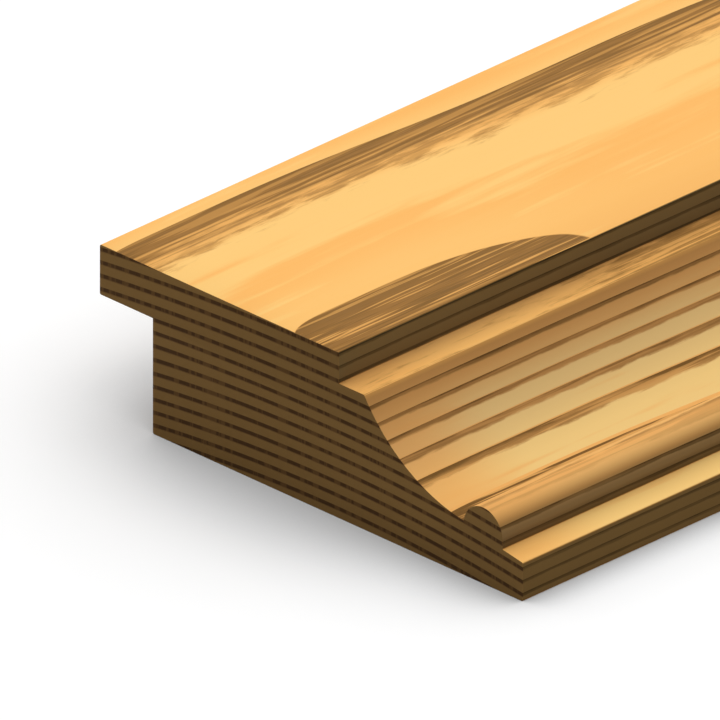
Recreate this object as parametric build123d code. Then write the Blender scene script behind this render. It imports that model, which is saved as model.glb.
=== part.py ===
from build123d import *
import os
from math import radians, sqrt, tan

# Chair rail moulding: one length of softwood, planed and run to a single section.
# The rail lies on its wide flat back (z = 0), with its length along X.
# The moulded edge faces -Y, and the lip that laps over a panel faces +Y.

# Stock, in millimetres
length = 2438.4
width = 61.4
thickness = 19.05

# Rebate under the lip, which takes the edge of a wall panel
rebate_width = 7.7
rebate_depth = 13.3

# Moulded edge, from the flat face down to the wall
nosing_depth = 3.55
fillet_width = 3.65
cove_width = 14.45
cove_radius = 20.2
quirk_rise = 0.3
bead_radius = 2.82
bead_shank = 1.0
toe_width = 2.95
toe_height = 4.45
toe_slope = 9.5

# Softening of the outer corners left by sanding
arris_radius = 0.2


def section_face():
    """Return the rail's section as a face, with Y across it and Z up from the wall side."""
    back = width / 2
    front = -width / 2
    shoulder = back - rebate_width

    toe_back = front + toe_width
    toe_back_height = toe_height + toe_width * tan(radians(toe_slope))

    bead_centre = toe_back + bead_radius
    bead_height = toe_back_height + bead_shank
    bead_front = (toe_back, bead_height)
    bead_crown = (bead_centre, bead_height + bead_radius)
    quirk_reach = sqrt(bead_radius**2 - quirk_rise**2)
    quirk = (bead_centre + quirk_reach, bead_height + quirk_rise)

    fillet_edge = bead_centre + bead_radius + cove_width
    fillet_height = thickness - nosing_depth
    nosing = fillet_edge + fillet_width

    cove_top = (fillet_edge, fillet_height)
    face_front = (nosing, thickness)
    lip_top = (back, thickness)
    lip_bottom = (back, rebate_depth)
    back_corner = (shoulder, 0)
    front_corner = (front, 0)
    toe_edge = (front, toe_height)

    straight_run = Polyline(
        cove_top,
        (nosing, fillet_height),
        face_front,
        lip_top,
        lip_bottom,
        (shoulder, rebate_depth),
        back_corner,
        front_corner,
        toe_edge,
        (toe_back, toe_back_height),
        bead_front,
    )
    bead = ThreePointArc(bead_front, bead_crown, quirk)
    cove = RadiusArc(quirk, cove_top, -cove_radius)
    section = make_face(straight_run + bead + cove)

    outer_corners = (
        cove_top, face_front, lip_top, lip_bottom, back_corner, front_corner, toe_edge,
    )
    eased = [section.vertices().sort_by_distance(corner)[0] for corner in outer_corners]
    return fillet(eased, arris_radius)


def chair_rail():
    """Return the whole rail: the section carried half the length each way along X."""
    return extrude(Plane.YZ * section_face(), amount=length / 2, both=True)


os.makedirs("parts", exist_ok=True)
export_step(chair_rail(), "parts/chair_rail.step")
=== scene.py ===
"""Chair rail moulding, dressed as planed softwood: an add-on that is run as a script.

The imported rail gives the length, width and thickness. The dressed rail is one fine surface, the
moulded section carried along the length, in a solid wood whose growth layers run through the end,
the flat faces and the moulded edge alike.
"""

import math

import bpy
import numpy as np
from bpy.props import FloatProperty, FloatVectorProperty, PointerProperty
from mathutils import Matrix, Vector


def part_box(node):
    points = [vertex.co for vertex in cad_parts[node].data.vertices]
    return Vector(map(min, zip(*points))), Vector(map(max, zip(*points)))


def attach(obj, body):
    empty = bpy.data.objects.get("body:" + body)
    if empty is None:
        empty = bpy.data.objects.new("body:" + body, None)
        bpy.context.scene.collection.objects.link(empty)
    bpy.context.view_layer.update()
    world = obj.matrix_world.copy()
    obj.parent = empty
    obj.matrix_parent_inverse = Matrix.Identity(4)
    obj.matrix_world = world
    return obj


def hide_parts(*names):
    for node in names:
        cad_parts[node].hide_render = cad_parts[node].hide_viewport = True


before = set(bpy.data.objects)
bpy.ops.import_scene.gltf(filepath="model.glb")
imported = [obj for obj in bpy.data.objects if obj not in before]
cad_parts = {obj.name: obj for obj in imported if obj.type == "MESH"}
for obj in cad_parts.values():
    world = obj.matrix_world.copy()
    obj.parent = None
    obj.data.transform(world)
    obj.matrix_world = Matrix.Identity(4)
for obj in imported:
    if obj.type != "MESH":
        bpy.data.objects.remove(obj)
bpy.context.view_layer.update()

bl_info = {
    "name": "Chair Rail Moulding",
    "version": (1, 0, 0),
    "blender": (4, 5, 0),
    "location": "3D View > Sidebar > Chair Rail",
    "description": "A rebated chair rail in planed softwood, on a pale studio floor",
    "category": "Add Mesh",
}

MM = 0.001
RAIL_NODE = "chair_rail"
LOW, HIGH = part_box(RAIL_NODE)
LENGTH, WIDTH, THICKNESS = HIGH - LOW

# How finely the surface is drawn
EASE_POINTS = 7
COVE_POINTS = 40
BEAD_POINTS = 28
RIM_STEPS = 4
NEAR_STEPS = 15
MIDDLE_STEPS = 32
FLAT_STEP = 2.5 * MM
FLAT_MARGIN = 0.1 * MM
SHARP_ANGLE = math.radians(35)

# Layout of the texture map: the long faces below, the two ends in a strip above them
LONG_FACES_TOP = 0.83
ENDS_BOTTOM = 0.845
NEAR_SHARE = 0.26
FAR_SHARE = 0.1
RIM_SHARE = 0.004
END_STRETCH = 75 * MM

# Where the painted shade changes on the section, by how upright a face is, from 0 for level to 1
STEEP_FROM = 0.75
BEAD_STEEP_FROM = 0.42
STEEP_SPAN = 0.2
DARK_FROM = 0.1
DARK_TO = 0.85
NOSING_DARK_TO = 0.3
BEAD_DARK_TO = 0.75
BROW_BELOW = 0.95
SHANK_ABOVE = 0.9
SHANK_SHADE = 4
COVE_SLOPES = (0.0, 0.06, 0.2)
COVE_SHARES = (0.9, 0.6, 1.5)

# How near the nosing's points lie to its plane, how high the toe's top begins as a share of its back
# corner, and over what height the painted shade of the moulded faces sets in
NOSING_BAND = 0.3 * MM
TOE_LOWEST = 0.7
MOULD_FADE = 1 * MM

# How far the earlywood may turn pale on each face, and how upright a face is where that fades out
COVE_PALE = 1.0
TOE_PALE = 0.8
BEAD_PALE = 0.25
FLAT_PALE = 0.62
PALE_SLOPES = (0.22, 0.42)

# How much less the latewood shows on upright faces and on the bead's crown
UPRIGHT_LOSS = 0.12
UPRIGHT_SLOPES = (0.7, 1.0)
CROWN_LOSS = 0.65
CROWN_SLOPES = (0.25, 0.45)
CROWN_FADE = 0.5 * MM


def linear(code):
    """Scene-linear red, green and blue of a six-digit colour code, by the sRGB curve."""
    shades = np.array([int(code[i:i + 2], 16) for i in (0, 2, 4)]) / 255
    return tuple(np.where(shades <= 0.04045, shades / 12.92, ((shades + 0.055) / 1.055) ** 2.4))


def size(name, description, millimetres):
    """A length that a user may change, in metres, with its default given in millimetres."""
    return FloatProperty(
        name=name, description=description, default=millimetres * MM, precision=5, unit="LENGTH",
    )


def share(name, description, default):
    """A plain number that a user may change."""
    return FloatProperty(name=name, description=description, default=default, precision=4)


def angle(name, description, degrees):
    """An angle that a user may change, with its default given in degrees."""
    return FloatProperty(
        name=name, description=description, default=math.radians(degrees), subtype="ANGLE",
    )


def colour(name, description, code):
    """A colour that a user may change, with its default given as a six-digit code."""
    return FloatVectorProperty(
        name=name, description=description, default=linear(code), subtype="COLOR", size=3, min=0, max=1,
    )


class RailSection(bpy.types.PropertyGroup):
    """Sizes of the moulded section."""

    rebate_width: size("Rebate Width", "How far the lip laps over the panel", 7.7)
    rebate_depth: size("Rebate Depth", "Height of the lip's underside above the back", 13.3)
    nosing_depth: size("Nosing Depth", "Height of the upright face below the flat face", 3.55)
    fillet_width: size("Fillet Width", "Width of the flat step at the nosing's foot", 3.65)
    cove_width: size("Cove Width", "Reach of the cove from the fillet to the bead", 14.45)
    cove_radius: size("Cove Radius", "Radius of the hollow", 20.2)
    quirk_rise: size("Quirk Rise", "Height of the cove's foot above the bead's centre", 0.3)
    bead_radius: size("Bead Radius", "Radius of the half-round bead", 2.82)
    bead_shank: size("Bead Shank", "Upright part of the bead above the toe", 1.0)
    toe_width: size("Toe Width", "Width of the sloping toe in front of the bead", 2.95)
    toe_height: size("Toe Height", "Height of the toe's front edge", 4.45)
    toe_slope: angle("Toe Slope", "Fall of the toe towards the front", 9.5)
    arris: size("Arris", "Radius of the eased outer corners", 0.2)
    end_rim: size("End Rim", "Radius of the eased edge round each sawn end", 0.04)


class RailTimber(bpy.types.PropertyGroup):
    """Growth layers and colours of the wood, and the tones of painted shade on its faces."""

    layer_pitch: size("Layer Pitch", "Thickness of one growth layer", 1.48)
    layer_apex: size("Layer Apex", "Distance of the layers' crest from the lip's back edge", 34.9)
    back_bend: size("Back Bend", "Radius of the layers behind the crest", 338.0)
    front_bend: size("Front Bend", "Radius of the layers in front of the crest", 195.0)
    deep_bend: share("Deep Bend", "Added share of bend behind the crest in the lower layers", 0.42)
    edge_height: size("Edge Height", "Height of a layer's edge above the flat face, at the crest", 0.1095)
    drift: share("Drift", "Fall of the layers along the rail, for each metre of length in metres", 0.0038)
    drift_start: size("Drift Start", "Distance of the first level stretch from the near end", 12.1)
    drift_wave: size("Drift Wave", "Length from one level stretch to the next", 50.8)
    end_dip: size("End Dip", "How far the layers dip at the near end", 0.04)
    end_dip_reach: size("End Dip Reach", "Length over which that dip dies away", 2.2)
    drift_reach: size("Drift Reach", "Length over which the layers level out along the rail", 250.0)
    wander: size("Wander", "How far the layers wander up and down along the rail", 1.2)
    uneven: share("Uneven", "How far a layer strays from even spacing, as a share of the pitch", 0.055)
    uneven_cycle: share("Uneven Cycle", "Count of layers from one thick one to the next", 8.4)
    uneven_peak: share("Uneven Peak", "Count of layers down to the one that strays most", 3.3)
    cloud_start: share("Cloud Start", "How many clouds further along the clouds begin", 2)
    wisp_start: share("Wisp Start", "How many wisps further along the wisps begin", 7)

    early_gold: colour("Earlywood Gold", "Deeper tone of the earlywood", "FDBC68")
    early_pale: colour("Earlywood Pale", "Lightest tone of the earlywood", "FED686")
    late_brown: colour("Latewood Brown", "Where a layer's latewood comes out", "9C6F37")
    late_dark: colour("Latewood Dark", "Darkest threads of the latewood", "7B5828")
    end_early: colour("End Earlywood", "Sawn ends between the layer lines", "967342")
    end_late: colour("End Latewood", "Layer lines of the sawn ends", "6D4E2B")
    end_dark: colour("End Dark", "Dashes in the layer lines of the sawn ends", "52381E")
    # Painted shade: the tones and reaches below darken the sloping and upright faces, the nosing and its
    # top edge, the bead's front, the moulded faces and the inner corners, where less overhead light falls
    slope_shade_tone: colour("Slope Tone", "Share of their colour that the steepest slopes keep", "8D8C8C")
    upright_shade_tone: colour("Upright Tone", "Share of their colour that the upright faces keep", "899099")
    nosing_shade_tone: colour("Nosing Tone", "Share of its colour that the nosing keeps", "8799B1")
    brow_shade_tone: share("Brow Tone", "Share of the nosing's tone that its top edge keeps", 0.5)
    bead_shade_tone: colour("Bead Tone", "Share of its colour that the bead's front keeps", "9DABC2")
    mould_shade_tone: colour("Mould Tone", "Share of their colour that the moulded faces keep", "EFEEF6")
    corner_shade_tone: share("Corner Tone", "Share of its colour that an inner corner keeps", 0.86)
    corner_shade_reach: size("Corner Reach", "How far the finish gathers out of an inner corner", 1.0)
    nosing_shade_reach: size("Nosing Reach", "How far it gathers out of the corner below the nosing", 3.5)


class StudioSet(bpy.types.PropertyGroup):
    """Camera, light and floor."""

    azimuth: angle("Azimuth", "Direction of the view round the rail", -45)
    elevation: angle("Elevation", "Height of the view above the floor", 27)
    frame_width: size("Frame Width", "Width of the view, which has no perspective", 73.9)
    frame_pixels: share("Frame Pixels", "Pixels across the square picture", 720)
    corner_column: share("Corner Column", "Pixel column of the near corner at the lip's top", 99.7)
    corner_row: share("Corner Row", "Pixel row of the near corner at the lip's top", 244.3)
    lamp_strength: share("Lamp Strength", "Light of the broad lamp overhead", 3.26)
    lamp_spread: angle("Lamp Spread", "Angle over which the lamp's light comes", 124)
    lamp_lean: angle("Lamp Lean", "Lean of the lamp from straight overhead", 17)
    lamp_turn: angle("Lamp Turn", "Direction of that lean, from +X towards +Y", 25)
    fill: share("Fill", "Light that comes from all round", 0.005)
    floor_tone: share("Floor Tone", "Share of light that the floor throws back at the rail", 0.45)


def unit(v):
    """The vector at length one."""
    return v / np.linalg.norm(v)


def eased_corner(before, corner, after, radius):
    """Arc that is tangent to both sides of a corner.

    It starts and ends radius * tan(turn / 2) from the corner, and its points turn evenly from the
    first side's normal to the last side's.
    """
    behind, ahead = unit(before - corner), unit(after - corner)
    turn = math.pi - math.acos(behind @ ahead)
    reach = radius * math.tan(turn / 2)
    centre = corner + unit(behind + ahead) * radius / math.cos(turn / 2)
    first = (corner + behind * reach - centre) / radius
    last = (corner + ahead * reach - centre) / radius
    t = np.linspace(0, 1, EASE_POINTS)[:, None]
    return centre + radius * (np.sin((1 - t) * turn) * first + np.sin(t * turn) * last) / math.sin(turn)


def flat_run(start, end):
    """Points of a straight side without its ends: one close to each end, and even steps between."""
    length = np.linalg.norm(end - start)
    steps = max(1, round(length / FLAT_STEP))
    t = np.linspace(FLAT_MARGIN / length, 1 - FLAT_MARGIN / length, steps + 1)[:, None]
    return start + (end - start) * t


def arc_run(centre, start, end, count):
    """Points of a circular arc about a centre, the short way round from start to end, both included."""
    first, last = start - centre, end - centre
    begin = math.atan2(first[1], first[0])
    turn = (math.atan2(last[1], last[0]) - begin + math.pi) % (2 * math.pi) - math.pi
    angles = begin + turn * np.linspace(0, 1, count)
    radius = np.linalg.norm(first)
    return centre + radius * np.stack([np.cos(angles), np.sin(angles)], 1)


def section_outline(rail):
    """Closed outline of the section as rows of (y, z), anticlockwise seen from +X, and its inner corners.

    It goes along the back, up the rebate and the lip, over the face to the nosing, and down the
    fillet, cove, bead and toe. Outer corners are eased, inner corners stay sharp.
    """
    back, front = WIDTH / 2, -WIDTH / 2
    shoulder = back - rail.rebate_width
    toe_back = front + rail.toe_width
    toe_rise = rail.toe_height + rail.toe_width * math.tan(rail.toe_slope)
    bead = np.array([toe_back + rail.bead_radius, toe_rise + rail.bead_shank])
    quirk = bead + [math.sqrt(rail.bead_radius**2 - rail.quirk_rise**2), rail.quirk_rise]
    fillet_edge = bead[0] + rail.bead_radius + rail.cove_width
    fillet_height = THICKNESS - rail.nosing_depth
    nosing = fillet_edge + rail.fillet_width
    cove_top = np.array([fillet_edge, fillet_height])

    chord = cove_top - quirk
    half = np.linalg.norm(chord) / 2
    away = unit(np.array([-chord[1], chord[0]]))
    cove_centre = (quirk + cove_top) / 2 + away * math.sqrt(rail.cove_radius**2 - half**2)
    spoke = cove_top - cove_centre
    cove_ahead = cove_top + np.array([spoke[1], -spoke[0]])

    front_corner = np.array([front, 0.0])
    back_corner = np.array([shoulder, 0.0])
    rebate_corner = np.array([shoulder, rail.rebate_depth])
    lip_bottom = np.array([back, rail.rebate_depth])
    lip_top = np.array([back, THICKNESS])
    face_front = np.array([nosing, THICKNESS])
    nosing_foot = np.array([nosing, fillet_height])
    toe_corner = np.array([toe_back, toe_rise])
    toe_edge = np.array([front, rail.toe_height])
    bead_front = np.array([toe_back, bead[1]])

    arris = rail.arris
    heel = eased_corner(toe_edge, front_corner, back_corner, arris)
    hind = eased_corner(front_corner, back_corner, rebate_corner, arris)
    under_lip = eased_corner(rebate_corner, lip_bottom, lip_top, arris)
    over_lip = eased_corner(lip_bottom, lip_top, face_front, arris)
    brow = eased_corner(lip_top, face_front, nosing_foot, arris)
    step = eased_corner(nosing_foot, cove_top, cove_ahead, arris)
    toe = eased_corner(toe_corner, toe_edge, front_corner, arris)
    cove = arc_run(cove_centre, step[-1], quirk, COVE_POINTS)
    crown = bead + [0, rail.bead_radius]
    bead_back = arc_run(bead, quirk, crown, BEAD_POINTS // 2)
    bead_fore = arc_run(bead, crown, bead_front, BEAD_POINTS // 2)
    outline = np.concatenate([
        heel, flat_run(heel[-1], hind[0]),
        hind, flat_run(hind[-1], rebate_corner),
        rebate_corner[None], flat_run(rebate_corner, under_lip[0]),
        under_lip, flat_run(under_lip[-1], over_lip[0]),
        over_lip, flat_run(over_lip[-1], brow[0]),
        brow, flat_run(brow[-1], nosing_foot),
        nosing_foot[None], flat_run(nosing_foot, step[0]),
        step, cove[1:],
        bead_back[1:], bead_fore[1:], flat_run(bead_front, toe_corner),
        toe_corner[None], flat_run(toe_corner, toe[0]),
        toe, flat_run(toe[-1], heel[0]),
    ])
    return outline, np.array([rebate_corner, nosing_foot, quirk, toe_corner])


def outward(outline):
    """Unit normals of a closed anticlockwise outline: each point's neighbours, turned a right angle."""
    tangent = np.roll(outline, -1, 0) - np.roll(outline, 1, 0)
    normal = np.stack([tangent[:, 1], -tangent[:, 0]], 1)
    return normal / np.linalg.norm(normal, axis=1, keepdims=True)


def rail_stations(rim):
    """Places along the rail, how far the section is drawn in at each, and each one's place on the map.

    The rim is a quarter circle at each end: out along it by 1 - cos, in from the section by 1 - sin.
    The map gives the first stretch at either end a larger share than the plain middle.
    """
    t = np.linspace(0, math.pi / 2, RIM_STEPS + 1)
    out, drawn_in = rim * (1 - np.cos(t)), rim * (1 - np.sin(t))
    near = np.linspace(rim, END_STRETCH, NEAR_STEPS + 1)[1:]
    middle = np.linspace(END_STRETCH, LENGTH - END_STRETCH, MIDDLE_STEPS + 1)[1:]
    along = np.concatenate([out, near, middle, LENGTH - near[-2::-1], LENGTH - out[::-1]])
    inset = np.zeros(len(along))
    inset[:len(t)], inset[-len(t):] = drawn_in, drawn_in[::-1]
    rims = np.linspace(0, RIM_SHARE, len(t))
    knots = np.concatenate([out, [END_STRETCH, LENGTH - END_STRETCH], LENGTH - out[::-1]])
    shares = np.concatenate([rims, [NEAR_SHARE, 1 - FAR_SHARE], 1 - rims[::-1]])
    return along - LENGTH / 2, inset, np.interp(along, knots, shares)


def rail_mesh(rail, timber):
    """The section carried along the rail, as a grid of (station, outline point), closed by two flat ends.

    A point is the outline's own point, moved in along its normal by the station's inset. The map lays
    the grid out by length and by distance round the section, and the ends flat beside each other.
    """
    outline, corners = section_outline(rail)
    normal = outward(outline)
    x, inset, along = rail_stations(rail.end_rim)
    rows, columns = len(x), len(outline)
    across = outline[None] - normal[None] * inset[:, None, None]
    places = np.concatenate([np.broadcast_to(x[:, None, None], (rows, columns, 1)), across], 2)

    number = np.arange(rows * columns).reshape(rows, columns)
    ahead = np.roll(number, -1, 1)
    quads = np.stack([number[:-1], ahead[:-1], ahead[1:], number[1:]], 2).reshape(-1, 4)
    ends = [number[0, ::-1].tolist(), number[-1].tolist()]
    mesh = bpy.data.meshes.new("moulded_rail")
    mesh.from_pydata(places.reshape(-1, 3).tolist(), [], quads.tolist() + ends)

    is_end = np.zeros(len(mesh.polygons), bool)
    is_end[-len(ends):] = True
    on_rim = np.repeat((inset[:-1] + inset[1:]) > 0, columns)
    slot = np.concatenate([on_rim, np.ones(len(ends), bool)]).astype(np.int32)
    mesh.polygons.foreach_set("material_index", slot)
    mesh.polygons.foreach_set("use_smooth", ~is_end)
    mesh.set_sharp_from_angle(angle=SHARP_ANGLE)

    upright = 1 - np.abs(normal[:, 1])
    note_faces(mesh, "upright", "FLOAT", "value", upright, rows)
    note_faces(mesh, "paling", "FLOAT", "value", paling(outline, upright, corners), rows)
    note_faces(mesh, "figure", "FLOAT", "value", figure(outline, upright, corners), rows)
    # Painted shade of the upright faces, the moulded faces and the inner corners, noted at each point as
    # a colour
    shade_tones = painted_shade_tones(outline, upright, corners, rail, timber)
    note_faces(mesh, "painted_shade", "FLOAT_COLOR", "color", shade_tones, rows)
    lay_map(mesh, outline, along)
    mesh.validate()
    return mesh


def note_faces(mesh, name, kind, field, round_section, rows):
    """Write a value or colour of each outline point to every station, as a point attribute."""
    noted = mesh.attributes.new(name, kind, "POINT")
    noted.data.foreach_set(field, np.concatenate([round_section] * rows).astype(np.float32).ravel())


def rise(value, low, high):
    """Straight climb from 0 at low to 1 at high."""
    return np.clip((value - low) / (high - low), 0, 1)


def smooth_rise(value, low, high):
    """Smooth step from 0 at low to 1 at high: 3 t^2 - 2 t^3 of the straight climb t."""
    t = rise(value, low, high)
    return t**2 * (3 - 2 * t)


def moulded_faces(outline, corners):
    """Which outline points lie on the fillet, on the cove and on the bead, as three masks."""
    y, z = outline.T
    _, nosing_foot, quirk, toe_corner = corners
    on_fillet = np.abs(z - nosing_foot[1]) < FLAT_MARGIN
    past_bead = (y > quirk[0]) & (y < nosing_foot[0])
    on_cove = past_bead & (z > quirk[1]) & (z < nosing_foot[1]) & ~on_fillet
    on_bead = (y > toe_corner[0] - FLAT_MARGIN) & (y < quirk[0]) & (z > toe_corner[1])
    return on_fillet, on_cove, on_bead


def painted_shade_tones(outline, upright, corners, rail, timber):
    """Painted shade: the share of its red, green and blue that each outline point keeps, and opacity 1.

    It is the product of three shares, all painted shade. The first falls from 1 on level faces by a
    smooth step of how upright the face is: to the slope tone, and where it is steepest to the upright,
    nosing or bead tone, with the nosing's top edge darker; it darkens the faces that the overhead light
    reaches less. The second is the mould tone between the flat face and the toe, which fades out along
    the fillet and varies with the cove's slope: painted shade of the moulded faces. The third falls
    near an inner corner to the corner tone, by e to the power of -(distance / reach)^2: painted shade
    in the inner corners.
    """
    y, z = outline.T
    _, nosing_foot, _, toe_corner = corners
    on_fillet, on_cove, on_bead = moulded_faces(outline, corners)
    on_nosing = (np.abs(y - nosing_foot[0]) < NOSING_BAND) & (z > nosing_foot[1]) & (upright > 0)

    steepest = np.tile(timber.upright_shade_tone, (len(outline), 1))
    steepest[on_nosing] = timber.nosing_shade_tone
    steepest[on_bead] = timber.bead_shade_tone
    steep_from = np.where(on_bead, BEAD_STEEP_FROM, STEEP_FROM)
    steep = rise(upright, steep_from, steep_from + STEEP_SPAN)[:, None]
    tone = np.array(timber.slope_shade_tone) * (1 - steep) + steepest * steep
    tone[on_nosing & (upright < BROW_BELOW)] = np.array(timber.nosing_shade_tone) * timber.brow_shade_tone
    dark_from = np.where(on_nosing | on_bead, 0.0, DARK_FROM)
    dark_to = np.where(on_nosing, NOSING_DARK_TO, np.where(on_bead, BEAD_DARK_TO, DARK_TO))
    upright_shade = 1 - (1 - tone) * smooth_rise(upright, dark_from, dark_to)[:, None]

    moulded = rise(THICKNESS - z, 0, MOULD_FADE) * rise(z - toe_corner[1], 0, MOULD_FADE)
    moulded[on_fillet] *= rise(y[on_fillet], nosing_foot[0] - rail.fillet_width, nosing_foot[0])
    moulded[on_cove] *= np.interp(upright[on_cove], COVE_SLOPES, COVE_SHARES)
    run = 1 - (1 - np.array(timber.mould_shade_tone)) * moulded[:, None]

    plain = timber.corner_shade_reach
    reach = np.array([plain, timber.nosing_shade_reach, plain, plain])
    apart = np.linalg.norm(outline[:, None] - corners[None], axis=2)
    corner_shade = np.exp(-(apart / reach) ** 2).max(1)[:, None]
    corner_shade[on_nosing] = 0
    corner_shade[on_bead & (upright > SHANK_ABOVE)] *= SHANK_SHADE
    shade_kept = upright_shade * run * (1 - (1 - timber.corner_shade_tone) * corner_shade)
    return np.concatenate([shade_kept, np.ones((len(shade_kept), 1))], 1)


def paling(outline, upright, corners):
    """How far the earlywood may turn pale: most on the cove and the toe, least on the fillet and bead.

    Each face has its own most, which falls to 0 by a smooth step of how upright the face is.
    """
    y, z = outline.T
    toe_corner = corners[-1]
    on_fillet, on_cove, on_bead = moulded_faces(outline, corners)
    on_toe = (y < toe_corner[0]) & (z > TOE_LOWEST * toe_corner[1])
    faces = [on_cove, on_toe, on_fillet | on_bead]
    most = np.select(faces, [COVE_PALE, TOE_PALE, BEAD_PALE], FLAT_PALE)
    return (1 - smooth_rise(upright, *PALE_SLOPES)) * most


def figure(outline, upright, corners):
    """How strongly the latewood shows: 1 on most faces, less on upright ones and on the bead's crown.

    The crown is the level part of the bead, from its front to a little past its middle.
    """
    y = outline[:, 0]
    _, _, quirk, toe_corner = corners
    _, _, on_bead = moulded_faces(outline, corners)
    middle = (quirk[0] + toe_corner[0]) / 2
    crown = on_bead * (1 - rise(upright, *CROWN_SLOPES)) * (1 - rise(y, middle, middle + CROWN_FADE))
    return (1 - UPRIGHT_LOSS * rise(upright, *UPRIGHT_SLOPES)) * (1 - CROWN_LOSS * crown)


def lay_map(mesh, outline, along):
    """Texture map of the rail: length across and distance round the section up, with the ends above."""
    steps = np.linalg.norm(np.roll(outline, -1, 0) - outline, axis=1)
    around = np.concatenate([[0], np.cumsum(steps)])
    around *= LONG_FACES_TOP / around[-1]
    low, high = np.meshgrid(along[:-1], around[:-1], indexing="ij")
    far, top = np.meshgrid(along[1:], around[1:], indexing="ij")
    sides = np.stack([low, high, low, top, far, top, far, high], 2).reshape(-1, 2)

    scale = (1 - ENDS_BOTTOM) / THICKNESS
    flat = (outline + [WIDTH / 2, 0]) * scale + [0, ENDS_BOTTOM]
    beside = flat + [1 - WIDTH * scale, 0]
    laid = np.concatenate([sides, flat[::-1], beside])
    mesh.uv_layers.new(name="OFBake").uv.foreach_set("vector", laid.astype(np.float32).ravel())


class Graph:
    """Adds nodes to one shader tree and joins them."""

    def __init__(self, tree):
        self.tree = tree

    def feed(self, socket, value):
        """Join another node's output to a socket, or set the socket's own value."""
        if isinstance(value, bpy.types.NodeSocket):
            self.tree.links.new(value, socket)
        else:
            socket.default_value = value

    def node(self, kind, inputs=None, **settings):
        """A node of this kind, with its settings made and its named inputs fed."""
        made = self.tree.nodes.new("ShaderNode" + kind)
        for name, value in settings.items():
            setattr(made, name, value)
        for name, value in (inputs or {}).items():
            self.feed(made.inputs[name], value)
        return made

    def math(self, operation, *values):
        """The result of one arithmetic step."""
        made = self.node("Math", operation=operation)
        for socket, value in zip(made.inputs, values):
            self.feed(socket, value)
        return made.outputs[0]

    def product(self, first, *others):
        """The product of two or more values."""
        for other in others:
            first = self.math("MULTIPLY", first, other)
        return first

    def rest(self, value):
        """What the value leaves of 1."""
        return self.math("SUBTRACT", 1.0, value)

    def swing(self, noise):
        """A noise moved to lie about 0 instead of about a half."""
        return self.math("SUBTRACT", noise, 0.5)

    def noted(self, name):
        """A value that the mesh notes at each of its points."""
        return self.node("Attribute", attribute_name=name).outputs["Fac"]

    def ramp(self, value, low, high, start=0.0, end=1.0):
        """A smooth step from start to end as the value goes from low to high."""
        made = self.node("MapRange", interpolation_type="SMOOTHSTEP", inputs={
            "Value": value, "From Min": low, "From Max": high, "To Min": start, "To Max": end,
        })
        return made.outputs["Result"]

    def blend(self, amount, first, second):
        """The colour that lies this share of the way from the first to the second."""
        made = self.node("Mix", data_type="RGBA")
        for name, value in {"Factor_Float": amount, "A_Color": first, "B_Color": second}.items():
            socket = next(s for s in made.inputs if s.identifier == name)
            self.feed(socket, value)
        return next(s for s in made.outputs if s.identifier == "Result_Color")

    def noise(self, position, lengths, detail=2.0, roughness=0.5, start=0.0):
        """Noise from 0 to 1 whose blotches have these lengths along X, Y and Z, in metres.

        It starts this many blotches further along X.
        """
        scale = [1 / length for length in lengths]
        placed = self.node("Mapping", vector_type="POINT", inputs={
            "Vector": position, "Scale": scale, "Location": (start, 0.0, 0.0),
        })
        made = self.node("TexNoise", inputs={
            "Vector": placed.outputs[0], "Scale": 1.0, "Detail": detail, "Roughness": roughness,
        })
        return made.outputs["Fac"]


def opaque(rgb):
    """A colour property as the four numbers that a colour socket holds."""
    return (*rgb, 1.0)


def new_group(name, inputs, outputs):
    """An empty shader group with named inputs and outputs, its graph, and its two end nodes."""
    tree = bpy.data.node_groups.new(name, "ShaderNodeTree")
    for socket, kind in inputs.items():
        tree.interface.new_socket(socket, in_out="INPUT", socket_type=kind)
    for socket, kind in outputs.items():
        tree.interface.new_socket(socket, in_out="OUTPUT", socket_type=kind)
    return tree, Graph(tree), tree.nodes.new("NodeGroupInput"), tree.nodes.new("NodeGroupOutput")


# Depths at which the deeper bend sets in, and distances from the near end over which wander does
DEEP_FROM = 7 * MM
DEEP_TO = 13 * MM
WANDER_FROM = 80 * MM
WANDER_FULL = 300 * MM

# The layers' slow wander and their fine ripple: lengths along X, Y and Z, and gain or height
WANDER_LENGTHS = (420 * MM, 140 * MM, 140 * MM)
WANDER_GAIN = 4
RIPPLE_LENGTHS = (30 * MM, 6 * MM, 6 * MM)
RIPPLE_HEIGHT = 0.012 * MM


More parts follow.
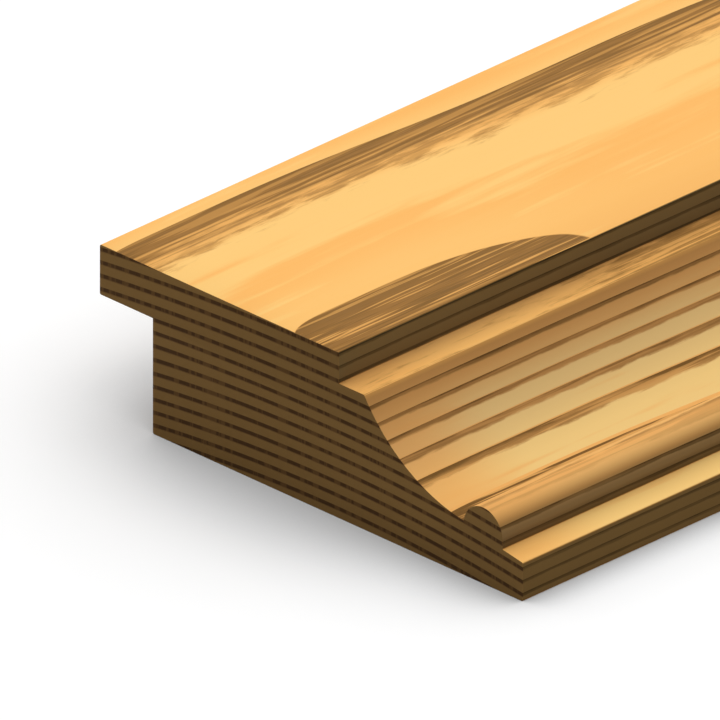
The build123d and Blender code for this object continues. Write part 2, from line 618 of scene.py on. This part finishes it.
def growth_layers(timber):
    """Group that says where a point lies in the tree's growth layers.

    A layer's outer edge is at edge height + drift - (distance from the crest)^2 / (2 * bend), with a
    bend of its own behind the crest, where the deep bend is added lower down. The layers repeat below
    that edge at their pitch, pushed down by uneven * (1 + cos) of their count as far as the layer where
    that is 0, and evenly from there. The drift falls in waves with level stretches, levels out along
    the rail by tanh, and dips at the near end by e to the power of -(distance / reach). Below Edge is
    the distance under the next edge above, as a share of the pitch.
    """
    tree, graph, given, result = new_group(
        "growth_layers", {"Position": "NodeSocketVector"}, {"Below Edge": "NodeSocketFloat"},
    )
    position = given.outputs["Position"]
    x, y, z = graph.node("SeparateXYZ", {"Vector": position}).outputs

    crest = WIDTH / 2 - timber.layer_apex
    off_crest = graph.math("SUBTRACT", y, crest)
    behind = graph.math("GREATER_THAN", off_crest, 0.0)
    back, front = 0.5 / timber.back_bend, 0.5 / timber.front_bend
    bend = graph.math("MULTIPLY_ADD", behind, back - front, front)
    deep = graph.product(behind, graph.ramp(z, THICKNESS - DEEP_FROM, THICKNESS - DEEP_TO))
    bend = graph.math("MULTIPLY_ADD", deep, timber.deep_bend * back, bend)
    arc = graph.product(graph.math("POWER", graph.math("ABSOLUTE", off_crest), 2.0), bend)

    from_end = graph.math("ADD", x, LENGTH / 2)
    past_start = graph.math("SUBTRACT", from_end, timber.drift_start)
    levelled = graph.math("TANH", graph.math("DIVIDE", past_start, timber.drift_reach))
    fall = graph.product(levelled, -timber.drift * timber.drift_reach)
    wave = graph.math("SINE", graph.product(past_start, 2 * math.pi / timber.drift_wave))
    away = graph.ramp(from_end, WANDER_FROM, WANDER_FULL)
    swell = timber.drift * timber.drift_wave / (2 * math.pi)
    drift = graph.math("MULTIPLY_ADD", graph.product(wave, graph.rest(away)), swell, fall)
    dip = graph.math("EXPONENT", graph.math("DIVIDE", from_end, -timber.end_dip_reach))
    drift = graph.math("MULTIPLY_ADD", dip, -timber.end_dip, drift)

    slow = graph.swing(graph.noise(position, WANDER_LENGTHS, 1.0))
    wander = graph.product(slow, WANDER_GAIN * timber.wander, away)
    ripple = graph.swing(graph.noise(position, RIPPLE_LENGTHS))

    height = graph.math("ADD", graph.math("ADD", drift, THICKNESS + timber.edge_height), wander)
    height = graph.math("MULTIPLY_ADD", ripple, RIPPLE_HEIGHT, height)
    depth = graph.math("SUBTRACT", graph.math("SUBTRACT", height, arc), z)
    count = graph.math("DIVIDE", depth, timber.layer_pitch)
    turn = 2 * math.pi / timber.uneven_cycle
    round_cycle = graph.math("MULTIPLY_ADD", count, turn, -turn * timber.uneven_peak)
    round_cycle = graph.math("MINIMUM", round_cycle, math.pi)
    stray = graph.math("MULTIPLY_ADD", graph.math("COSINE", round_cycle), timber.uneven, timber.uneven)
    graph.feed(result.inputs["Below Edge"], graph.math("FRACT", graph.math("SUBTRACT", count, stray)))
    return tree


# The wood's fibres, coarse to fine: their noise's length, width, detail and roughness
FIBRES = {
    "Cloud": (28 * MM, 3.6 * MM, 3.0, 0.5),
    "Wisp": (30 * MM, 1.2 * MM, 2.0, 0.5),
    "Brush": (7 * MM, 1.1 * MM, 5.0, 0.65),
    "Streak": (22 * MM, 0.6 * MM, 2.0, 0.5),
    "Thread": (9 * MM, 0.22 * MM, 2.0, 0.5),
}


def fibre_streaks(timber):
    """Group of the wood's fibres: noises drawn out along the rail, of which two start further along."""
    tree, graph, given, result = new_group(
        "fibre_streaks", {"Position": "NodeSocketVector"},
        {name: "NodeSocketFloat" for name in FIBRES},
    )
    position = given.outputs["Position"]
    starts = {"Cloud": timber.cloud_start, "Wisp": timber.wisp_start}
    for name, (length, width, detail, roughness) in FIBRES.items():
        lengths = (length, width, width)
        noise = graph.noise(position, lengths, detail, roughness, starts.get(name, 0.0))
        graph.feed(result.inputs[name], noise)
    return tree


def new_material(name):
    """A material with its graph, its Principled shader, and the rail's own coordinates."""
    material = bpy.data.materials.new(name)
    material.use_nodes = True
    graph = Graph(material.node_tree)
    shader = material.node_tree.nodes["Principled BSDF"]
    position = graph.node("TexCoord").outputs["Object"]
    return material, graph, shader, position


def placed_group(graph, tree, position):
    """A group set into a material, fed with the position; returns its outputs by name."""
    made = graph.node("Group", node_tree=tree)
    graph.feed(made.inputs["Position"], position)
    return made.outputs


def dress(graph, shader, base, relief, depth, roughness, gloss):
    """Feed a shader its colour, a fine relief of this depth, its roughness and its gloss."""
    bump = graph.node("Bump", {"Height": relief, "Distance": depth, "Strength": 1.0})
    graph.feed(shader.inputs["Base Color"], base)
    graph.feed(shader.inputs["Normal"], bump.outputs["Normal"])
    graph.feed(shader.inputs["Roughness"], roughness)
    graph.feed(shader.inputs["Specular IOR Level"], gloss)


# Smooth steps of the long grain: where each starts and ends, and its values there if not 0 and 1
HEART = (8 * MM, -8 * MM)
SLOPED = (0.0, 0.02)
STARTED = (0.0, 0.002)
FLARE = (24 * MM, 8 * MM, 0.0, 0.035)
LOST = (0.13, 0.27)
LOST_STROKES = (0.42, 0.58, 0.32, 0.7)
BROAD = (0.285, 0.39, 1.0, 0.0)
SUNK = (0.02, 0.3, 0.0, 0.07)
NARROW = (0.24, 0.36, 1.0, 0.0)
NARROW_TAIL = (0.06, 0.2, 1.0, 0.75)
CORE_STREAKS = (0.52, 0.46)
CORE_THREADS = (0.57, 0.43)
CORE_SLOPED = (0.06, 0.15, 0.9, 0.0)
CORE_RIM = (0.015, 0.05, 0.7, 0.0)
GOLD_STREAKS = (0.52, 0.58)
GOLD_EDGE = (-0.04, 0.01)
GOLD_OFF_CREST = (0.3 * MM, 1.5 * MM)
GOLD_SLOPED = (0.0, 0.15, 1.0, 0.3)
YOUNGER_BELOW = (THICKNESS - 0.5 * MM, THICKNESS - 2 * MM, 0.0, 0.4)
PALE_EDGE = (0.26, 0.42)
PALE_AGE = (0.6, 0.9, 1.0, 0.0)
RIND = (0.8, 1.0, 0.0, 0.6)
PAST_END = (2 * MM, 15 * MM, 0.2, 1.0)
ON_FACE = (THICKNESS - 2 * MM, THICKNESS - 0.5 * MM)
LONG_ROUGHNESS = (0.3, 0.7, 0.5, 0.62)

# Shares that join the long grain's masks: how far each mask moves or weighs another
SLOPE_SINK = 0.04
SLOPE_AFTER = 0.1
BRUSH_FRAY = 0.38
STREAK_FRAY = 0.45
CORE_LEAST = 0.6
CORE_HEART = 0.2
GOLD_LEAST = 0.25
GOLD_HEART = 0.6
HEART_AGE = 0.92
CLOUD_AGE = 1.2
WISP_AGE = 0.55
THREAD_RELIEF = 0.6
LATE_RELIEF = 0.4
LONG_RELIEF = 0.02 * MM
LONG_GLOSS = 0.03


def long_grain(timber, layers, fibres):
    """The planed long faces: golden earlywood, brown latewood where a layer comes out, painted shade on
    the edges.

    The latewood starts sharply at a layer's edge and fades below it, in a broad frayed tail towards
    the lip, and in a narrow one towards the nosing and on the moulded faces. It has a darker core and
    golden streaks. The earlywood turns pale below it, in clouds and wisps. Faces that stand upright
    cut the layers edge on. Painted shade, noted at each point, darkens the upright faces, the moulded
    faces and the inner corners.
    """
    material, graph, shader, position = new_material("planed_long_grain")
    below = placed_group(graph, layers, position)["Below Edge"]
    fibre = placed_group(graph, fibres, position)
    cloud, wisp, brush, streak, thread = (fibre[name] for name in FIBRES)
    x, y, z = graph.node("SeparateXYZ", {"Vector": position}).outputs
    from_end = graph.math("SUBTRACT", LENGTH / 2, graph.math("ABSOLUTE", x))
    stands = graph.noted("upright")
    heart = graph.ramp(y, *HEART)
    sloped = graph.ramp(stands, *SLOPED)

    # The latewood
    inside = graph.math("MULTIPLY_ADD", sloped, -SLOPE_SINK, below)
    started = graph.ramp(inside, *STARTED)
    frayed = graph.math("MULTIPLY_ADD", graph.swing(brush), BRUSH_FRAY, inside)
    streaky = graph.math("MULTIPLY_ADD", graph.swing(streak), STREAK_FRAY, below)
    flare = graph.ramp(from_end, *FLARE)
    lost = graph.ramp(graph.math("SUBTRACT", streaky, flare), *LOST)
    lost = graph.product(lost, graph.ramp(brush, *LOST_STROKES))
    broad = graph.ramp(graph.math("SUBTRACT", frayed, flare), *BROAD)
    broad = graph.product(broad, graph.rest(lost))
    sunk = graph.math("ADD", frayed, graph.ramp(stands, *SUNK))
    narrow = graph.product(graph.ramp(sunk, *NARROW), graph.ramp(sunk, *NARROW_TAIL))
    where_narrow = graph.math("MAXIMUM", heart, sloped)
    narrower = graph.product(graph.math("SUBTRACT", narrow, broad), where_narrow)
    late = graph.product(started, graph.math("ADD", broad, narrower), graph.noted("figure"))

    # Its dark core and golden streaks
    core = graph.product(graph.ramp(streak, *CORE_STREAKS), graph.ramp(thread, *CORE_THREADS))
    core = graph.product(core, graph.math("MULTIPLY_ADD", heart, CORE_HEART, CORE_LEAST))
    first = graph.product(sloped, graph.ramp(sunk, *CORE_SLOPED))
    rim = graph.product(graph.rest(heart), graph.ramp(inside, *CORE_RIM))
    core = graph.math("MAXIMUM", graph.math("MAXIMUM", core, first), rim)
    off_crest = graph.math("ABSOLUTE", graph.math("SUBTRACT", y, WIDTH / 2 - timber.layer_apex))
    golden = graph.product(graph.ramp(streak, *GOLD_STREAKS), graph.ramp(inside, *GOLD_EDGE))
    golden = graph.product(golden, graph.math("MULTIPLY_ADD", heart, GOLD_HEART, GOLD_LEAST))
    golden = graph.product(golden, graph.ramp(off_crest, *GOLD_OFF_CREST))
    golden = graph.product(golden, graph.ramp(stands, *GOLD_SLOPED))

    # The earlywood, which is paler the younger it is
    age = graph.math("MULTIPLY_ADD", heart, graph.math("SUBTRACT", HEART_AGE, below), below)
    age = graph.math("MULTIPLY_ADD", graph.swing(cloud), CLOUD_AGE, age)
    age = graph.math("MULTIPLY_ADD", graph.swing(wisp), WISP_AGE, age)
    age = graph.math("SUBTRACT", age, graph.ramp(z, *YOUNGER_BELOW))
    after_late = graph.math("MULTIPLY_ADD", sloped, SLOPE_AFTER, below)
    young = graph.product(graph.ramp(after_late, *PALE_EDGE), graph.ramp(age, *PALE_AGE))
    rind = graph.product(graph.ramp(below, *RIND), graph.rest(heart))
    away = graph.math("MAXIMUM", graph.ramp(from_end, *PAST_END), graph.ramp(z, *ON_FACE))
    pale = graph.product(graph.math("MAXIMUM", young, rind), graph.noted("paling"))
    pale = graph.product(pale, graph.rest(late), away)

    early = graph.blend(pale, opaque(timber.early_gold), opaque(timber.early_pale))
    brown = graph.blend(core, opaque(timber.late_brown), opaque(timber.late_dark))
    wood = graph.blend(graph.product(late, graph.rest(golden)), early, brown)
    # Painted shade: the wood's colour times the shade noted at each point
    painted_shade = graph.node("Attribute", attribute_name="painted_shade").outputs["Color"]
    face = graph.node("VectorMath", {0: wood, 1: painted_shade}, operation="MULTIPLY").outputs["Vector"]

    relief = graph.math("MULTIPLY_ADD", thread, THREAD_RELIEF, graph.product(late, LATE_RELIEF))
    roughness = graph.ramp(streak, *LONG_ROUGHNESS)
    dress(graph, shader, face, relief, LONG_RELIEF, roughness, LONG_GLOSS)
    return material


# The sawn ends' rays and grit: lengths along X, Y and Z, and the rays' detail and roughness
RAY_LENGTHS = (1.0, 0.9 * MM, 20 * MM)
RAY_DETAIL = 3.0
RAY_ROUGHNESS = 0.6
GRIT_LENGTHS = (1.0, 0.4 * MM, 0.4 * MM)

# Smooth steps of the sawn ends, as those of the long grain, and their relief and gloss
LINE_START = (0.0, 0.06)
LINE_END = (0.28, 0.44, 1.0, 0.0)
DASH_START = (0.02, 0.06)
DASH_END = (0.27, 0.36, 1.0, 0.0)
DASH_RAYS = (0.44, 0.5)
SAWN_ROUGHNESS = (0.3, 0.7, 0.66, 0.78)
GRIT_RELIEF = 0.7
DASH_RELIEF = 0.3
SAWN_RELIEF = 0.03 * MM
SAWN_GLOSS = 0.06


def end_grain(timber, layers):
    """The sawn ends: dark layer lines broken into dashes by the rays, on a brown ground."""
    material, graph, shader, position = new_material("sawn_end_grain")
    below = placed_group(graph, layers, position)["Below Edge"]
    rays = graph.noise(position, RAY_LENGTHS, RAY_DETAIL, RAY_ROUGHNESS)
    grit = graph.noise(position, GRIT_LENGTHS)

    line = graph.product(graph.ramp(below, *LINE_START), graph.ramp(below, *LINE_END))
    dash = graph.product(graph.ramp(below, *DASH_START), graph.ramp(below, *DASH_END))
    dash = graph.product(dash, graph.ramp(rays, *DASH_RAYS))
    ground = graph.blend(line, opaque(timber.end_early), opaque(timber.end_late))
    sawn = graph.blend(dash, ground, opaque(timber.end_dark))

    relief = graph.math("MULTIPLY_ADD", grit, GRIT_RELIEF, graph.product(dash, DASH_RELIEF))
    roughness = graph.ramp(grit, *SAWN_ROUGHNESS)
    dress(graph, shader, sawn, relief, SAWN_RELIEF, roughness, SAWN_GLOSS)
    return material


def seen_or_lit(graph):
    """1 for rays that show a thing to the camera, straight or by gloss or glass, and 0 for its light."""
    path = graph.node("LightPath").outputs
    shown = graph.math("MAXIMUM", path["Is Camera Ray"], path["Is Glossy Ray"])
    return graph.math("MAXIMUM", shown, path["Is Transmission Ray"])


# The floor: half its width, how near a thing darkens it with painted shadow and by how much, and the
# light that lifts it
FLOOR_REACH = 6.0
FLOOR_SHADOW_REACH = 18 * MM
FLOOR_SHADOW_SHARES = (0.35, 1.05)
FLOOR_SHADOW_TONE = (0.66, 0.685, 0.71, 1.0)
FLOOR_LIFT = 0.06
WHITE = (1.0, 1.0, 1.0, 1.0)


def studio_floor(tone):
    """A wide pale floor: white to the camera, where it keeps the rail's shadow, and quieter as a light.

    The camera sees it darker close to the rail, a painted shadow, and lifted a little everywhere else.
    """
    corners = np.array([[-1, -1, 0], [1, -1, 0], [1, 1, 0], [-1, 1, 0]]) * FLOOR_REACH
    mesh = bpy.data.meshes.new("studio_floor")
    mesh.from_pydata(corners.tolist(), [], [[0, 1, 2, 3]])
    material = bpy.data.materials.new("white_floor")
    material.use_nodes = True
    graph = Graph(material.node_tree)
    # Painted shadow: the floor's seen colour darkens where the occlusion node finds the rail close
    shadow_occlusion = graph.node("AmbientOcclusion", {"Distance": FLOOR_SHADOW_REACH}).outputs["AO"]
    white = graph.blend(graph.ramp(shadow_occlusion, *FLOOR_SHADOW_SHARES), FLOOR_SHADOW_TONE, WHITE)
    shaded = graph.node("BsdfDiffuse", {"Color": white})
    lifted = graph.node("Emission", {"Color": WHITE, "Strength": FLOOR_LIFT})
    seen = graph.node("AddShader", {0: shaded.outputs[0], 1: lifted.outputs[0]})
    lit = graph.node("BsdfDiffuse", {"Color": opaque((tone, tone, tone))})
    mix = graph.node("MixShader", {0: seen_or_lit(graph), 1: lit.outputs[0], 2: seen.outputs[0]})
    output = material.node_tree.nodes["Material Output"]
    graph.feed(output.inputs["Surface"], mix.outputs[0])
    mesh.materials.append(material)
    floor = bpy.data.objects.new("studio_floor", mesh)
    bpy.context.scene.collection.objects.link(floor)
    return floor


def studio_world(fill):
    """Surroundings that are white to the camera and a faint even light to the rail."""
    world = bpy.data.worlds.new("studio_world")
    world.use_nodes = True
    graph = Graph(world.node_tree)
    seen = graph.node("Background", {"Color": WHITE, "Strength": 1.0})
    lit = graph.node("Background", {"Color": WHITE, "Strength": fill})
    mix = graph.node("MixShader", {0: seen_or_lit(graph), 1: lit.outputs[0], 2: seen.outputs[0]})
    output = world.node_tree.nodes["World Output"]
    graph.feed(output.inputs["Surface"], mix.outputs[0])
    bpy.context.scene.world = world


def view_axes(studio):
    """Right, up and towards the camera, as unit vectors of the view."""
    a, e = studio.azimuth, studio.elevation
    towards = Vector((math.sin(a) * math.cos(e), -math.cos(a) * math.cos(e), math.sin(e)))
    right = Vector((math.cos(a), math.sin(a), 0))
    return right, towards.cross(right), towards


def studio_camera(studio):
    """A camera without perspective that sees the lip's near top corner at its pixel in the picture."""
    right, up, towards = view_axes(studio)
    data = bpy.data.cameras.new("studio_camera")
    data.type = "ORTHO"
    data.ortho_scale = studio.frame_width
    pixel = studio.frame_width / studio.frame_pixels
    middle = studio.frame_pixels / 2
    corner = Vector((LOW.x, HIGH.y, HIGH.z))
    aim = corner + (middle - studio.corner_column) * pixel * right
    aim += (studio.corner_row - middle) * pixel * up
    camera = bpy.data.objects.new("studio_camera", data)
    turned = Matrix((right, up, towards)).transposed().to_4x4()
    camera.matrix_world = Matrix.Translation(aim + towards) @ turned
    bpy.context.scene.collection.objects.link(camera)
    bpy.context.scene.camera = camera


def studio_lamp(studio):
    """One broad lamp overhead, leaning a little along the rail and away from the camera."""
    data = bpy.data.lights.new("overhead_lamp", "SUN")
    data.energy = studio.lamp_strength
    data.angle = studio.lamp_spread
    lamp = bpy.data.objects.new("overhead_lamp", data)
    across = math.sin(studio.lamp_lean)
    shine = Vector((
        across * math.cos(studio.lamp_turn),
        across * math.sin(studio.lamp_turn),
        math.cos(studio.lamp_lean),
    ))
    lamp.rotation_euler = shine.to_track_quat("Z", "Y").to_euler()
    bpy.context.scene.collection.objects.link(lamp)


class CHAIRRAIL_OT_rail(bpy.types.Operator):
    """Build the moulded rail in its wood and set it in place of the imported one"""

    bl_idname = "chair_rail.add_rail"
    bl_label = "Moulded Rail"

    def execute(self, context):
        scene = context.scene
        mesh = rail_mesh(scene.rail_section, scene.rail_timber)
        layers = growth_layers(scene.rail_timber)
        fibres = fibre_streaks(scene.rail_timber)
        mesh.materials.append(long_grain(scene.rail_timber, layers, fibres))
        mesh.materials.append(end_grain(scene.rail_timber, layers))
        rail = bpy.data.objects.new("moulded_rail", mesh)
        scene.collection.objects.link(rail)
        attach(rail, "root")
        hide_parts(RAIL_NODE)
        return {"FINISHED"}


class CHAIRRAIL_OT_stage(bpy.types.Operator):
    """Set up the floor, the lamp, the surroundings and the camera"""

    bl_idname = "chair_rail.add_stage"
    bl_label = "Studio Stage"

    def execute(self, context):
        studio = context.scene.rail_studio
        studio_floor(studio.floor_tone)
        studio_world(studio.fill)
        studio_lamp(studio)
        studio_camera(studio)
        context.scene.view_settings.view_transform = "Standard"
        return {"FINISHED"}


class CHAIRRAIL_PT_panel(bpy.types.Panel):
    """Lists the rail's sizes, its wood and its stage"""

    bl_idname = "CHAIRRAIL_PT_panel"
    bl_label = "Chair Rail"
    bl_space_type = "VIEW_3D"
    bl_region_type = "UI"
    bl_category = "Chair Rail"

    def draw(self, context):
        groups = {
            CHAIRRAIL_OT_rail: ("rail_section", "rail_timber"),
            CHAIRRAIL_OT_stage: ("rail_studio",),
        }
        for operator, names in groups.items():
            box = self.layout.box()
            for name in names:
                held = getattr(context.scene, name)
                for field in held.__annotations__:
                    box.prop(held, field)
            box.operator(operator.bl_idname)


CLASSES = (
    RailSection, RailTimber, StudioSet, CHAIRRAIL_OT_rail, CHAIRRAIL_OT_stage, CHAIRRAIL_PT_panel,
)
HELD = {"rail_section": RailSection, "rail_timber": RailTimber, "rail_studio": StudioSet}


def register():
    """Make the classes known to Blender and give each scene its settings."""
    for cls in CLASSES:
        bpy.utils.register_class(cls)
    for name, cls in HELD.items():
        setattr(bpy.types.Scene, name, PointerProperty(type=cls))


def unregister():
    """Take the settings and the classes away again."""
    for name in HELD:
        delattr(bpy.types.Scene, name)
    for cls in reversed(CLASSES):
        bpy.utils.unregister_class(cls)


def main():
    """Build the rail and its stage."""
    register()
    bpy.ops.chair_rail.add_rail()
    bpy.ops.chair_rail.add_stage()


if __name__ == "__main__":
    main()
